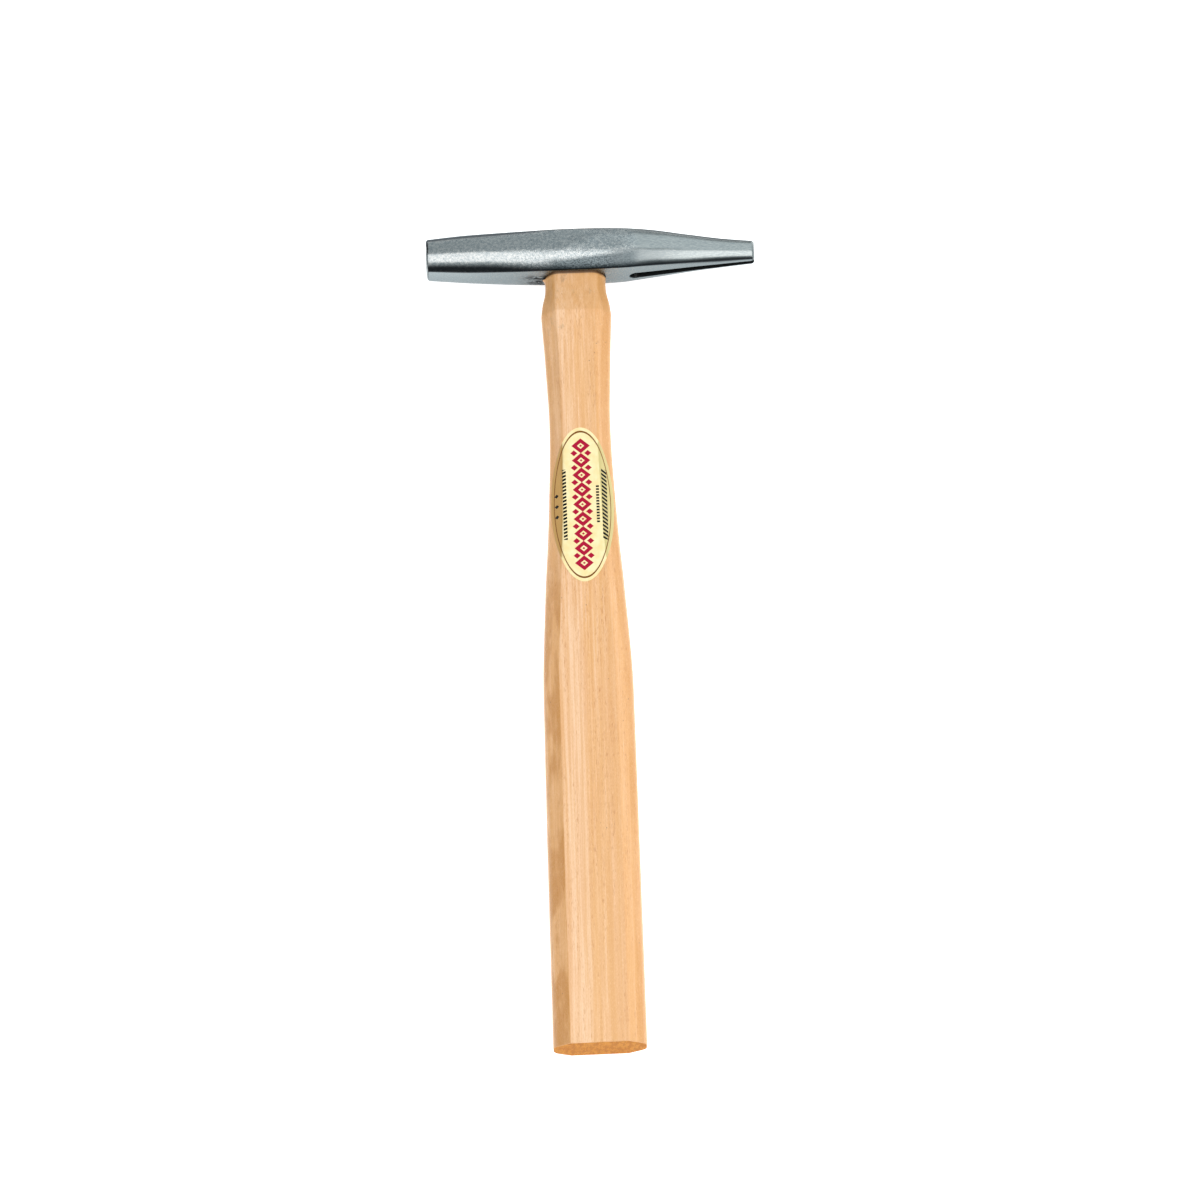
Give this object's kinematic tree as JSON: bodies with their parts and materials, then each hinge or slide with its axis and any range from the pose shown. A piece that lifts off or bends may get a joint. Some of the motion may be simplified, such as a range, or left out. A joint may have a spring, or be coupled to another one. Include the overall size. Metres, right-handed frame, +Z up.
{
  "type": "magnetic tack hammer",
  "caption": "Light tack hammer with a slender forged head, a round striking face, a split magnetised tip and a faceted hickory handle with a foil label.",
  "frame": {"origin": "centre of the hammer's footprint as it lies on its side, on the surface it lies on", "axes": "+X along the head towards the split magnetic tip, +Y along the handle towards the head, +Z up through the cheeks"},
  "size_m": [0.108, 0.2736, 0.0192],
  "materials": {
    "forged_steel": "tumbled forging, semi-gloss",
    "hickory": "light lacquer",
    "wedge_wood": "sanded",
    "wedge_steel": "ground",
    "gold_foil": "printed metallic foil"
  },
  "bodies": {
    "root": {"head": "forged_steel", "handle": "hickory", "wood_wedge": "wedge_wood", "steel_wedge": "wedge_steel", "label": "gold_foil"}
  },
  "joints": []
}
